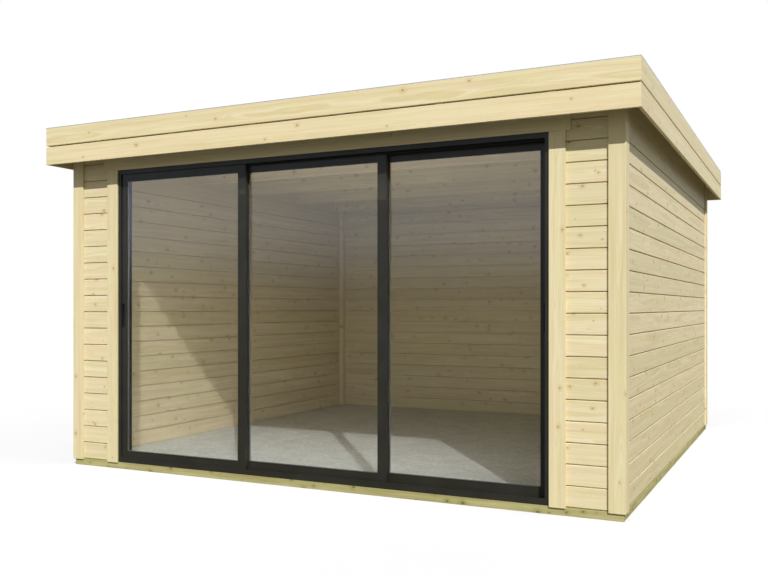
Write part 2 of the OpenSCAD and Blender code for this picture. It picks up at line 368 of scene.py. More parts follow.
def linear(hex_colour: str) -> tuple[float, float, float, float]:
    """Turns an sRGB hex colour into linear values.

    Args:
        hex_colour: such as "#E6D7AF".

    Returns:
        Red, green, blue and 1.
    """
    parts = [int(hex_colour[i : i + 2], 16) / 255 for i in (1, 3, 5)]
    # The sRGB curve, as its standard gives it
    values = [c / 12.92 if c <= 0.04045 else ((c + 0.055) / 1.055) ** 2.4 for c in parts]
    return (*values, 1.0)


def add_node(
    tree: bpy.types.NodeTree, kind: str, inputs: Optional[dict] = None, **settings: object
) -> bpy.types.NodeOutputs:
    """Adds a shader node with its settings and links.

    Args:
        tree: the node tree.
        kind: the node's type, without "ShaderNode".
        inputs: for a socket's name or number, a value, an sRGB hex colour or
            the output that feeds it.
        **settings: the node's own properties.

    Returns:
        The new node's outputs.
    """
    node = tree.nodes.new("ShaderNode" + kind)
    for name, value in settings.items():
        setattr(node, name, value)
    for name, value in (inputs or {}).items():
        if isinstance(value, Socket):
            tree.links.new(value, node.inputs[name])
        else:
            value = linear(value) if isinstance(value, str) else value
            node.inputs[name].default_value = value
    return node.outputs


def new_material(name: str) -> tuple[bpy.types.Material, bpy.types.NodeTree, Socket]:
    """Starts a node material that knows the place on its object.

    Args:
        name: the material's name.

    Returns:
        The material, its node tree and the output with the place, in metres.
    """
    material = bpy.data.materials.new(name)
    material.use_nodes = True
    tree = material.node_tree
    tree.nodes.clear()
    return material, tree, add_node(tree, "TexCoord")["Object"]


def finish_with(tree: bpy.types.NodeTree, shader: Socket) -> None:
    """Links a shader to the material's output."""
    add_node(tree, "OutputMaterial", {"Surface": shader})


def lay_over(
    tree: bpy.types.NodeTree,
    under: Socket | str,
    over: Socket | str,
    value: Socket,
    reach: tuple[float, float],
    most: float = 1.0,
    soft: bool = False,
) -> Socket:
    """Lays a colour over another, more and more as a value crosses a range.

    Args:
        tree: the material's node tree.
        under: the colour below.
        over: the colour on top.
        value: what the upper colour comes and goes with.
        reach: the value where it starts to show, and where it shows most.
        most: how much of it shows there.
        soft: True where it starts and ends softly.

    Returns:
        The mixed colour.
    """
    ramp = "SMOOTHSTEP" if soft else "LINEAR"
    share = {"Value": value, "From Min": reach[0], "From Max": reach[1], "To Max": most}
    share = add_node(tree, "MapRange", share, interpolation_type=ramp)[0]
    # The Mix node's sockets for colours, whose names it uses for others too
    mixed = {0: share, 6: under, 7: over}
    return add_node(tree, "Mix", mixed, data_type="RGBA")[2]


@dataclass(frozen=True)
class Pattern:
    """A soft irregular pattern, by the real length and width of its waves."""

    long_mm: float
    wide_mm: float
    detail: float = 2.0
    rough: float = 0.5

    def draw(self, tree: bpy.types.NodeTree, place: Socket) -> bpy.types.NodeOutputs:
        """Adds the pattern to a material.

        Args:
            tree: the material's node tree.
            place: the place in metres, with the pattern's length on X.

        Returns:
            The outputs "Fac" and "Color", around 0.5.
        """
        across = METRE_MM / self.wide_mm
        scaled = {0: place, 1: (METRE_MM / self.long_mm, across, across)}
        scaled = add_node(tree, "VectorMath", scaled, operation="MULTIPLY")[0]
        waves = {"Vector": scaled, "Scale": 1.0, "Detail": self.detail, "Roughness": self.rough}
        return add_node(tree, "TexNoise", waves)


@dataclass(frozen=True)
class Softwood:
    """Planed softwood: a pale, nearly matt surface with rings, streaks and knots."""

    name: str
    early: str
    warm: str
    late: str
    rosy: str
    green: str
    knot: str = "#8E7850"
    knot_rim: str = "#B8A579"
    rough: float = 0.62
    ior: float = 1.45
    tint_spread: float = 0.07
    ring_mm: float = 3.4
    ring_share: float = 0.31
    band_mm: float = 14.0
    band_rings: float = 2.5
    hue_share: float = 0.55
    streak_share: float = 1.7
    knot_gap_mm: float = 95.0
    knot_squeeze: float = 0.72
    knot_mm: float = 6.5
    pin_knot_mm: float = 0.2
    knotless: float = 0.5
    knot_reach: float = 5.0
    knot_shade: float = 0.5
    ragged_mm: float = 2.0
    wander_mm: float = 34.0
    relief_mm: float = 0.25
    edges: Pattern = Pattern(7, 7)
    waves: Pattern = Pattern(770, 110)
    clouds: Pattern = Pattern(310, 53, detail=4.0, rough=0.6)
    streaks: Pattern = Pattern(770, 30, detail=4.0, rough=0.62)
    # Real fibres are far finer: these are drawn 1.5 mm wide so that they show
    fibres: Pattern = Pattern(70, 1.5)

    def material(self) -> bpy.types.Material:
        """Makes the material, which reads the attributes "grain" and "tint".

        Returns:
            The material.
        """
        made, tree, _ = new_material(self.name)
        grain = add_node(tree, "Attribute", attribute_name="grain")["Vector"]
        tint = add_node(tree, "Attribute", attribute_name="tint")["Fac"]
        size, ratio = self.knots(tree, grain)
        # A knot pushes the rings and darkens the wood out to five times its radius
        reach = {"Value": ratio, "From Min": self.knot_reach, "From Max": 0.8}
        halo = add_node(tree, "MapRange", reach, interpolation_type="SMOOTHERSTEP")[0]
        swell = add_node(tree, "Math", {0: halo, 1: size}, operation="MULTIPLY")[0]
        bent = self.bend(tree, grain)
        ring, years = self.rings(tree, bent, swell)
        colour = self.clear_wood(tree, grain, tint, years)

        # Late wood darkens the rings, streaks along the grain and the rim of a knot
        in_rings = {0: ring, 1: self.ring_share}
        share = {
            "Value": self.streaks.draw(tree, bent)["Fac"],
            "From Min": 0.46,
            "From Max": 0.74,
            "To Min": add_node(tree, "Math", in_rings, operation="MULTIPLY")[0],
            "To Max": self.streak_share * self.ring_share,
        }
        share = add_node(tree, "MapRange", share)[0]
        colour = lay_over(tree, colour, self.late, share, (0.0, 1.0))
        colour = lay_over(tree, colour, self.late, halo, (0.0, 1.0), self.knot_shade)
        knot = lay_over(tree, self.knot_rim, self.knot, ratio, (0.95, 0.35), soft=True)
        colour = lay_over(tree, colour, knot, ratio, (1.4, 0.8), 0.85, soft=True)

        fibre = self.fibres.draw(tree, grain)["Fac"]
        sheen = {"Value": fibre, "To Min": self.rough - 0.08, "To Max": self.rough + 0.1}
        # Late wood stands up a few hundredths of a millimetre, and fibres less
        height = {0: fibre, 1: 0.6, 2: ring}
        height = add_node(tree, "Math", height, operation="MULTIPLY_ADD")[0]
        relief = {"Height": height, "Strength": 0.3, "Distance": self.relief_mm * MM}
        inputs = {
            "Base Color": colour,
            "Roughness": add_node(tree, "MapRange", sheen)[0],
            "Normal": add_node(tree, "Bump", relief)[0],
            "IOR": self.ior,
        }
        finish_with(tree, add_node(tree, "BsdfPrincipled", inputs)[0])
        return made

    def knots(self, tree: bpy.types.NodeTree, grain: Socket) -> tuple[Socket, Socket]:
        """Knots that run through the board: one cell of a flat cell pattern each.

        Args:
            tree: the material's node tree.
            grain: the place in the log.

        Returns:
            The knot's radius in mm, and the distance from its middle in radii.
        """
        # The cells are 1.4 times as long as they are wide
        flat = {0: grain, 1: (self.knot_squeeze, 1.0, 1.0)}
        flat = add_node(tree, "VectorMath", flat, operation="MULTIPLY")[0]
        inputs = {"Vector": flat, "Scale": METRE_MM / self.knot_gap_mm, "Randomness": 1.0}
        cells = add_node(tree, "TexVoronoi", inputs, voronoi_dimensions="2D")
        chance = add_node(tree, "SeparateColor", {"Color": cells["Color"]})["Red"]
        # Half the cells show no knot, or only a pin knot
        size = {
            "Value": chance,
            "From Min": self.knotless,
            "To Min": self.pin_knot_mm,
            "To Max": self.knot_mm,
        }
        size = add_node(tree, "MapRange", size)[0]
        away = {0: cells["Distance"], 1: self.knot_gap_mm}
        away = add_node(tree, "Math", away, operation="MULTIPLY")[0]
        # Ragged edges, 2 mm in and out over 7 mm
        ragged = self.edges.draw(tree, grain)["Fac"]
        ragged = {"Value": ragged, "To Min": -self.ragged_mm, "To Max": self.ragged_mm}
        ragged = add_node(tree, "MapRange", ragged)[0]
        away = add_node(tree, "Math", {0: ragged, 1: away}, operation="ADD")[0]
        return size, add_node(tree, "Math", {0: away, 1: size}, operation="DIVIDE")[0]

    def bend(self, tree: bpy.types.NodeTree, grain: Socket) -> Socket:
        """Bends the log by long waves, up to 17 mm to each side.

        Args:
            tree: the material's node tree.
            grain: the place in the log.

        Returns:
            The bent place in the log.
        """
        waves = {0: self.waves.draw(tree, grain)["Color"], 1: (0.5, 0.5, 0.5)}
        waves = add_node(tree, "VectorMath", waves, operation="SUBTRACT")[0]
        wander = self.wander_mm * MM
        bent = {0: waves, 1: (0.0, wander, wander), 2: grain}
        return add_node(tree, "VectorMath", bent, operation="MULTIPLY_ADD")[0]

    def rings(
        self, tree: bpy.types.NodeTree, bent: Socket, swell: Socket
    ) -> tuple[Socket, Socket]:
        """Rings round the pith, pushed aside by the knots.

        Args:
            tree: the material's node tree.
            bent: the bent place in the log.
            swell: how far a knot pushes the rings, in mm.

        Returns:
            1 in late wood and 0 in early wood, and bands of good and poor years.
        """
        flat = {0: bent, 1: (0.0, 1.0, 1.0)}
        flat = add_node(tree, "VectorMath", flat, operation="MULTIPLY")[0]
        radius = add_node(tree, "VectorMath", {0: flat}, operation="LENGTH")["Value"]
        radius = {0: radius, 1: METRE_MM, 2: swell}
        radius = add_node(tree, "Math", radius, operation="MULTIPLY_ADD")[0]
        # The bands of years show as soft stripes, and draw the rings together
        bands = {"W": radius, "Scale": 1 / self.band_mm, "Detail": 3.0, "Roughness": 0.65}
        years = add_node(tree, "TexNoise", bands, noise_dimensions="1D")["Fac"]
        count = {0: radius, 1: 1 / self.ring_mm}
        count = add_node(tree, "Math", count, operation="MULTIPLY")[0]
        count = {0: years, 1: self.band_rings, 2: count}
        count = add_node(tree, "Math", count, operation="MULTIPLY_ADD")[0]
        phase = add_node(tree, "Math", {0: count}, operation="FRACT")[0]
        # Late wood comes on slowly and ends at once
        rise = {"Value": phase, "From Min": 0.35, "From Max": 0.9}
        rise = add_node(tree, "MapRange", rise, interpolation_type="SMOOTHSTEP")[0]
        fall = {"Value": phase, "From Min": 1.0, "From Max": 0.93}
        fall = add_node(tree, "MapRange", fall)[0]
        ring = add_node(tree, "Math", {0: rise, 1: fall}, operation="MULTIPLY")[0]
        return ring, years

    def clear_wood(
        self, tree: bpy.types.NodeTree, grain: Socket, tint: Socket, years: Socket
    ) -> Socket:
        """The wood between the knots, which leans to pink or green in clouds.

        Args:
            tree: the material's node tree.
            grain: the place in the log.
            tint: the board's own number.
            years: the bands of good and poor years.

        Returns:
            The colour.
        """
        colour = lay_over(tree, self.early, self.warm, years, (0.35, 0.68), soft=True)
        # The hue goes by the clouds, and a little by the board
        spread = self.tint_spread
        board = add_node(tree, "MapRange", {"Value": tint, "To Min": -spread, "To Max": spread})
        lean = {0: self.clouds.draw(tree, grain)["Fac"], 1: board[0]}
        lean = add_node(tree, "Math", lean, operation="ADD")[0]
        for hue, reach in ((self.rosy, (0.5, 0.7)), (self.green, (0.5, 0.32))):
            colour = lay_over(tree, colour, hue, lean, reach, self.hue_share)
        shade = {"Value": tint, "To Min": 1 - spread, "To Max": 1 + spread / 3}
        shade = add_node(tree, "MapRange", shade)[0]
        return add_node(tree, "VectorMath", {0: colour, "Scale": shade}, operation="SCALE")[0]


@dataclass(frozen=True)
class FibreCement:
    """A calibrated fibre-cement floor board: light grey, clouded and matt."""

    name: str = "fibre_cement"
    pale: str = "#D6D7CC"
    dark: str = "#C2C2B5"
    fleck: str = "#A0A198"
    rough: float = 0.8
    relief_mm: float = 0.4
    clouds: Pattern = Pattern(110, 110, detail=6.0, rough=0.7)
    flecks: Pattern = Pattern(24, 24, detail=5.0, rough=0.7)

    def material(self) -> bpy.types.Material:
        """Makes the material from clouds with flecks in them.

        Returns:
            The material.
        """
        made, tree, place = new_material(self.name)
        clouds = self.clouds.draw(tree, place)["Fac"]
        flecks = self.flecks.draw(tree, place)["Fac"]
        colour = lay_over(tree, self.pale, self.dark, clouds, (0.36, 0.64))
        colour = lay_over(tree, colour, self.fleck, flecks, (0.42, 0.66), 0.8)
        relief = {"Height": flecks, "Strength": 0.3, "Distance": self.relief_mm * MM}
        inputs = {
            "Base Color": colour,
            "Roughness": self.rough,
            "Normal": add_node(tree, "Bump", relief)[0],
        }
        finish_with(tree, add_node(tree, "BsdfPrincipled", inputs)[0])
        return made


@dataclass(frozen=True)
class PowderCoat:
    """Powder-coated aluminium: dark grey and satin, with a faint orange peel."""

    name: str = "powder_coated_aluminium"
    colour: str = "#282721"
    dusty: str = "#6A6A66"
    dust_share: float = 0.05
    rough: float = 0.34
    specular: float = 0.23
    relief_mm: float = 0.1
    # Real peel is finer: it is drawn 3 mm wide so that it shows
    peel: Pattern = Pattern(3, 3, detail=1.0)
    dust: Pattern = Pattern(170, 170, detail=5.0)

    def material(self) -> bpy.types.Material:
        """Makes the material, with a little dust on it.

        Returns:
            The material.
        """
        made, tree, place = new_material(self.name)
        peel = self.peel.draw(tree, place)["Fac"]
        relief = {"Height": peel, "Strength": 0.12, "Distance": self.relief_mm * MM}
        dust = self.dust.draw(tree, place)["Fac"]
        reach = (0.4, 0.75)
        sheen = {
            "Value": dust,
            "From Min": 0.3,
            "From Max": 0.7,
            "To Min": self.rough - 0.05,
            "To Max": self.rough + 0.1,
        }
        inputs = {
            "Base Color": lay_over(tree, self.colour, self.dusty, dust, reach, self.dust_share),
            "Roughness": add_node(tree, "MapRange", sheen)[0],
            "Specular IOR Level": self.specular,
            "Normal": add_node(tree, "Bump", relief)[0],
        }
        finish_with(tree, add_node(tree, "BsdfPrincipled", inputs)[0])
        return made


@dataclass(frozen=True)
class TintedGlass:
    """Float glass with a faint grey tint: clear, smooth and mirror-like at a slant."""

    name: str = "tinted_glass"
    tint: str = "#D8D9DC"
    ior: float = 1.52

    def material(self) -> bpy.types.Material:
        """Makes the material; lamps shine through it with the same tint.

        Returns:
            The material.
        """
        made, tree, _ = new_material(self.name)
        inputs = {
            "Base Color": self.tint,
            "Roughness": 0.0,
            "IOR": self.ior,
            "Transmission Weight": 1.0,
        }
        pane = add_node(tree, "BsdfPrincipled", inputs)[0]
        clear = add_node(tree, "BsdfTransparent", {"Color": self.tint})[0]
        shadow = add_node(tree, "LightPath")["Is Shadow Ray"]
        finish_with(tree, add_node(tree, "MixShader", {0: shadow, 1: pane, 2: clear})[0])
        return made


@dataclass(frozen=True)
class Rubber:
    """Moulded EPDM rubber or membrane: dull, with dust in clouds."""

    name: str
    colour: str
    dusty: str
    rough: float = 0.75
    cloud_mm: float = 200.0
    relief_mm: float = 0.3
    skin: Pattern = Pattern(2.4, 2.4, detail=1.0)

    def material(self) -> bpy.types.Material:
        """Makes the material, with a fine dimpled skin.

        Returns:
            The material.
        """
        made, tree, place = new_material(self.name)
        dust = Pattern(self.cloud_mm, self.cloud_mm, detail=6.0, rough=0.62)
        dust = dust.draw(tree, place)["Fac"]
        skin = self.skin.draw(tree, place)["Fac"]
        relief = {"Height": skin, "Strength": 0.25, "Distance": self.relief_mm * MM}
        inputs = {
            "Base Color": lay_over(tree, self.colour, self.dusty, dust, (0.38, 0.7)),
            "Roughness": self.rough,
            "Normal": add_node(tree, "Bump", relief)[0],
        }
        finish_with(tree, add_node(tree, "BsdfPrincipled", inputs)[0])
        return made


@dataclass(frozen=True)
class BareMetal:
    """Rolled aluminium sheet or turned steel: dull metal with faint blotches."""

    name: str
    colour: str = "#B4B6B6"
    rough: float = 0.42
    blotches: Pattern = Pattern(42, 42, detail=4.0)

    def material(self) -> bpy.types.Material:
        """Makes the material, its blotches only in its roughness.

        Returns:
            The material.
        """
        made, tree, place = new_material(self.name)
        blotch = self.blotches.draw(tree, place)["Fac"]
        sheen = {"Value": blotch, "To Min": self.rough - 0.1, "To Max": self.rough + 0.16}
        inputs = {
            "Base Color": self.colour,
            "Metallic": 1.0,
            "Roughness": add_node(tree, "MapRange", sheen)[0],
        }
        finish_with(tree, add_node(tree, "BsdfPrincipled", inputs)[0])
        return made


# ---------------------------------------------------------------- dressing


def paint(piece: Piece, material: bpy.types.Material) -> None:
    """Gives a piece one material, in place of any it has."""
    piece.data.materials.clear()
    piece.data.materials.append(material)


def paint_node(node: str, material: bpy.types.Material) -> None:
    """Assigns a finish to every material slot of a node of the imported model.

    Args:
        node: the node's name.
        material: its finish.
    """
    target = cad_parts[node]
    for place in target.material_slots:
        place.material = material
    LOG.info("node %s keeps its shape, finish %s", node, material.name)


def dress(
    piece: Piece,
    material: bpy.types.Material,
    body: Body = Body.SHED,
    nodes: tuple[str, ...] = (),
) -> None:
    """Paints a new piece, puts it on its body and hides what it stands for.

    Args:
        piece: the piece.
        material: its finish.
        body: the body that carries it.
        nodes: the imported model's nodes that it replaces.
    """
    paint(piece, material)
    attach(piece, body.value)
    if nodes:
        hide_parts(*nodes)
    LOG.info("piece %s: %d faces, on %s", piece.name, len(piece.data.polygons), body.value)


def dress_timbers(
    runs: dict[str, Run],
    material: bpy.types.Material,
    dice: random.Random,
    ending: str = "_planed",
    ease: float = EASE,
) -> None:
    """Makes a board with eased edges for each solid of each node, and dresses them.

    Args:
        runs: the nodes, and the axis of the grain in each.
        material: the finish.
        dice: the random numbers for the grain.
        ending: what the new piece's name adds to the node's.
        ease: how wide the edges are rounded.
    """
    for node, run in runs.items():
        timbers = [
            mark_grain(ease_edges(block(node + ending, *box), ease), run, dice)
            for box in solids(node)
        ]
        dress(join(node + ending, timbers), material, nodes=(node,))


# ---------------------------------------------------------------- boards that lock together


def lay_down(piece: Piece, place: Iterable[float]) -> Piece:
    """Turns a piece's X to Y, its Y to Z and its Z to X, then moves it.

    Args:
        piece: the piece to turn.
        place: where its origin goes.

    Returns:
        The same piece, with its place in its mesh.
    """
    x, y, z = place
    piece.matrix_world = Matrix(((0, 0, 1, x), (1, 0, 0, y), (0, 1, 0, z), (0, 0, 0, 1)))
    return settle(piece)


@dataclass
class TonguedBoard:
    """A board with a tongue on its upper edge and a groove in its lower edge."""

    thick: float
    cover: float
    length: float
    outside: int = -1
    gap: float = 4 * MM
    chamfer: float = 2.6 * MM
    inside_chamfer: float = 0.8 * MM
    tongue: float = 16 * MM
    depth: float = 11 * MM
    foot: float = 4 * MM
    play: float = 1 * MM

    def section(self, name: str, has_tongue: bool, has_groove: bool) -> Piece:
        """Shapes the board's section in X, its thickness, and Y, its height.

        Args:
            name: the new piece's name.
            has_tongue: False for the last board.
            has_groove: False for the first board.

        Returns:
            A flat face, its lower edge at Y = 0 and X = 0 in its middle. The first
            board stands on its middle, with a shadow gap along both faces.
        """
        top = self.cover - (self.gap if has_tongue else 0.0)
        bpy.ops.object.select_all(action="DESELECT")
        bpy.ops.mesh.primitive_plane_add(size=1, location=(0, top / 2, 0))
        piece = bpy.context.active_object
        piece.name = piece.data.name = name
        piece.scale = (self.thick, top, 1)
        settle(piece)
        edit(piece, "FACE", lambda f: True)
        for x in (-self.tongue / 2, self.tongue / 2):
            bpy.ops.mesh.select_all(action="SELECT")
            bpy.ops.mesh.bisect(plane_co=(x, 0, 0), plane_no=(1, 0, 0))
        bpy.ops.mesh.select_all(action="SELECT")
        step = self.depth if has_groove else self.foot
        bpy.ops.mesh.bisect(plane_co=(0, step, 0), plane_no=(0, 1, 0))
        done()
        inner = self.tongue / 2 - TINY
        edit(
            piece,
            "FACE",
            lambda f: (abs(middle(f).x) < inner) == has_groove and middle(f).y < step,
        )
        bpy.ops.mesh.delete(type="FACE")
        done()
        if has_tongue:
            edit(
                piece,
                "EDGE",
                lambda e: abs(middle(e).x) < inner and all(v.co.y > top - TINY for v in e.verts),
            )
            reach = self.gap + self.depth - self.play
            bpy.ops.mesh.extrude_edges_move(TRANSFORM_OT_translate={"value": (0, reach, 0)})
            done()
        corner = self.thick / 2 - TINY
        bottom = TINY if has_groove else self.foot + TINY
        for side, chamfer in ((self.outside, self.chamfer), (-self.outside, self.inside_chamfer)):
            edit(
                piece,
                "VERT",
                lambda v: v.co.x * side > corner and (v.co.y < bottom or v.co.y > top - TINY),
            )
            bpy.ops.mesh.bevel(offset=chamfer, segments=1, affect="VERTICES")
            done()
        return piece

    def build(self, name: str, has_tongue: bool, has_groove: bool) -> Piece:
        """Draws the section out to a board that lies along X, its height along Z.

        Args:
            name: the new piece's name.
            has_tongue: False for the last board.
            has_groove: False for the first board.

        Returns:
            The board, centred on X and Y with its lower edge at Z = 0.
        """
        piece = self.section(name, has_tongue, has_groove)
        edit(piece, "FACE", lambda f: True)
        bpy.ops.mesh.extrude_region_move(
            TRANSFORM_OT_translate={"value": (0, 0, self.length)}
        )
        bpy.ops.mesh.select_all(action="SELECT")
        bpy.ops.mesh.normals_make_consistent(inside=False)
        done()
        return lay_down(piece, (-self.length / 2, 0, 0))


@dataclass
class BoardWall:
    """A wall of boards laid on each other, in place of one of the wall slabs."""

    node: str
    run: Run
    outward: int
    dice: random.Random
    joints: tuple[float, ...]
    gap: float
    joists: tuple[Box, ...] = ()
    least_board: float = 10 * MM
    same_cover: float = 0.1 * MM

    def build(self) -> Piece:
        """Stacks the boards from the wall's foot to its top.

        Returns:
            The wall as one piece, at the wall slab's place.
        """
        low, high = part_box(self.node)
        along = self.run.value
        across = 1 - along
        length = high[along] - low[along]
        thick = high[across] - low[across]
        # A board along X is turned a quarter to lie along Y
        outside = self.outward if self.run is Run.ACROSS else -self.outward
        lowest, highest = low.z + self.least_board, high.z - self.least_board
        levels = [low.z, *(z for z in self.joints if lowest < z < highest), high.z]
        parts, first = [], 0
        while first < len(levels) - 1:
            last = first + 1
            cover = levels[last] - levels[first]
            while (
                last + 1 < len(levels) - 1
                and 0 < first
                and abs(levels[last + 1] - levels[last] - cover) < self.same_cover
            ):
                last += 1
            board = TonguedBoard(thick, cover, length, outside, self.gap)
            is_top = last == len(levels) - 1
            part = board.build(self.node + "_board", not is_top, first > 0)
            part.location.z = levels[first]
            settle(part)
            size, count = len(part.data.vertices), last - first
            if count > 1:
                repeat(part, count, (0, 0, cover))
            mark_grain(part, Run.ACROSS, self.dice, count, size)
            parts.append(part)
            first = last
        wall = join(self.node + "_boards", parts)
        if self.run is Run.DEEP:
            wall.rotation_euler.z = math.pi / 2
        settle(wall)
        wall.location = ((low.x + high.x) / 2, (low.y + high.y) / 2, 0)
        settle(wall)
        rise = Vector((0, 0, PAST))
        pockets = [block("pocket", foot, top + rise) for foot, top in self.joists]
        return carve(wall, pockets)


# ---------------------------------------------------------------- sub-assemblies


@dataclass
class Walls:
    """The walls of stacked boards, with the posts, studs and lintel inside."""

    spruce: bpy.types.Material
    first_joint: float = 163 * MM
    pitch: float = 114.1 * MM
    joint_count: int = 19
    side_top_joint: float = 1990 * MM
    gap: float = 4.2 * MM
    side_gap: float = 4.8 * MM
    seed: int = 11

    def build(self) -> None:
        """Makes each wall and dresses it."""
        dice = random.Random(self.seed)
        levels = tuple(self.first_joint + i * self.pitch for i in range(self.joint_count))
        side_levels = tuple(z for z in levels if z < self.side_top_joint)
        joists = tuple(solids("roof_joists"))
        across, deep = Run.ACROSS, Run.DEEP
        for wall in (
            BoardWall("wall_left", deep, -1, dice, side_levels, self.side_gap, joists),
            BoardWall("wall_right", deep, 1, dice, side_levels, self.side_gap, joists),
            BoardWall("wall_back", across, 1, dice, levels, self.gap),
            BoardWall("front_wall_left", across, -1, dice, levels, self.gap),
            BoardWall("front_wall_right", across, -1, dice, levels, self.gap),
            BoardWall("front_wall_head", across, -1, dice, levels, self.gap),
        ):
            dress(wall.build(), self.spruce, nodes=(wall.node,))
        runs = {"corner_posts": Run.UP, "door_studs": Run.UP, "door_lintel": across}
        dress_timbers(runs, self.spruce, dice)


@dataclass
class Trim:
    """The boards that cover the corners and frame the door."""

    spruce: bpy.types.Material
    seed: int = 23

    def build(self) -> None:
        """Makes the upright boards and the header board."""
        runs = {"corner_boards_" + side: Run.UP for side in ("front", "back", "left", "right")}
        runs |= {"jamb_boards": Run.UP, "header_board": Run.ACROSS}
        dress_timbers(runs, self.spruce, random.Random(self.seed))


@dataclass
class Base:
    """The treated beams and bearers, and the floor."""

    treated: bpy.types.Material
    floor: bpy.types.Material
    ease: float = 1.5 * MM
    seed: int = 31

    def build(self) -> None:
        """Makes the timbers and finishes the floor panel."""
        runs = {
            "base_beam_front": Run.ACROSS,
            "base_beam_back": Run.ACROSS,
            "base_beams_side": Run.DEEP,
            "sill_bearer": Run.ACROSS,
            "floor_bearers": Run.ACROSS,
        }
        dice = random.Random(self.seed)
        dress_timbers(runs, self.treated, dice, "_sawn", self.ease)
        paint_node("floor_panel", self.floor)


@dataclass
class Roof:
    """Joists, tongued roof boarding, membrane and capping."""

    spruce: bpy.types.Material
    membrane: bpy.types.Material
    capping: bpy.types.Material
    cover: float = 96 * MM
    seed: int = 47

    def build(self) -> None:
        """Makes the timber parts and finishes the membrane and the capping."""
        dice = random.Random(self.seed)
        dress_timbers({"roof_joists": Run.ACROSS}, self.spruce, dice)
        dress(self.boarding(dice), self.spruce, nodes=("roof_boarding",))
        paint_node("roof_membrane", self.membrane)
        paint_node("edge_capping", self.capping)

    def boarding(self, dice: random.Random) -> Piece:
        """The boards of the roof, which run from front to back.

        Args:
            dice: the random numbers for the grain.

        Returns:
            The boards as one piece.
        """
        low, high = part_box("roof_boarding")
        count = round((high.x - low.x) / self.cover)
        cover = (high.x - low.x) / count
        board = TonguedBoard(
            thick=high.z - low.z,
            cover=cover,
            length=high.y - low.y,
            gap=1 * MM,
            chamfer=3 * MM,
            inside_chamfer=3 * MM,
            tongue=6 * MM,
            depth=7 * MM,
        )
        parts = []
        for first, copies in ((0, 1), (1, count - 2), (count - 1, 1)):
            part = board.build("roof_board", first < count - 1, first > 0)
            part.location.z = first * cover
            settle(part)
            size = len(part.data.vertices)
            repeat(part, copies, (0, 0, cover))
            parts.append(mark_grain(part, Run.ACROSS, dice, copies, size))
        boards = join("roof_boards", parts)
        return lay_down(boards, (low.x, (low.y + high.y) / 2, (low.z + high.z) / 2))


@dataclass
class Fascia:
    """Two mitred boards on each side of the roof, and the battens behind them."""

    spruce: bpy.types.Material
    seed: int = 59

    def build(self) -> None:
        """Makes the four sides and the battens."""
        dice = random.Random(self.seed)
        for node, run, outward in (
            ("fascia_front", Run.ACROSS, -1),
            ("fascia_back", Run.ACROSS, 1),
            ("fascia_left", Run.DEEP, -1),
            ("fascia_right", Run.DEEP, 1),
        ):
            boards = [self.mitred(node, box, run, outward, dice) for box in solids(node)]
            fascia = join(node + "_planed", boards)
            dress(fascia, self.spruce, nodes=(node,))
        dress_timbers({"fascia_battens": Run.UP}, self.spruce, dice)

    def mitred(
        self, node: str, box: Box, run: Run, outward: int, dice: random.Random
    ) -> Piece:
        """One board with both ends cut at 45 degrees.

        Args:
            node: the node that it belongs to.
            box: its lowest and highest corners.
            run: the axis that it lies along.
            outward: which way its face looks on the other level axis, -1 or 1.
            dice: the random numbers for its grain.

        Returns:
            The board.
        """
        low, high = box
        along, across = run.value, 1 - run.value
        board = block(node + "_board", low, high)
        for end in (-1, 1):
            point, normal = Vector(), Vector()
            point[along] = (high if end > 0 else low)[along]
            point[across] = (high if outward > 0 else low)[across]
            normal[along] = end
            normal[across] = -outward
            cut_off(board, point, normal.normalized())
        return mark_grain(ease_edges(board, EASE), run, dice)


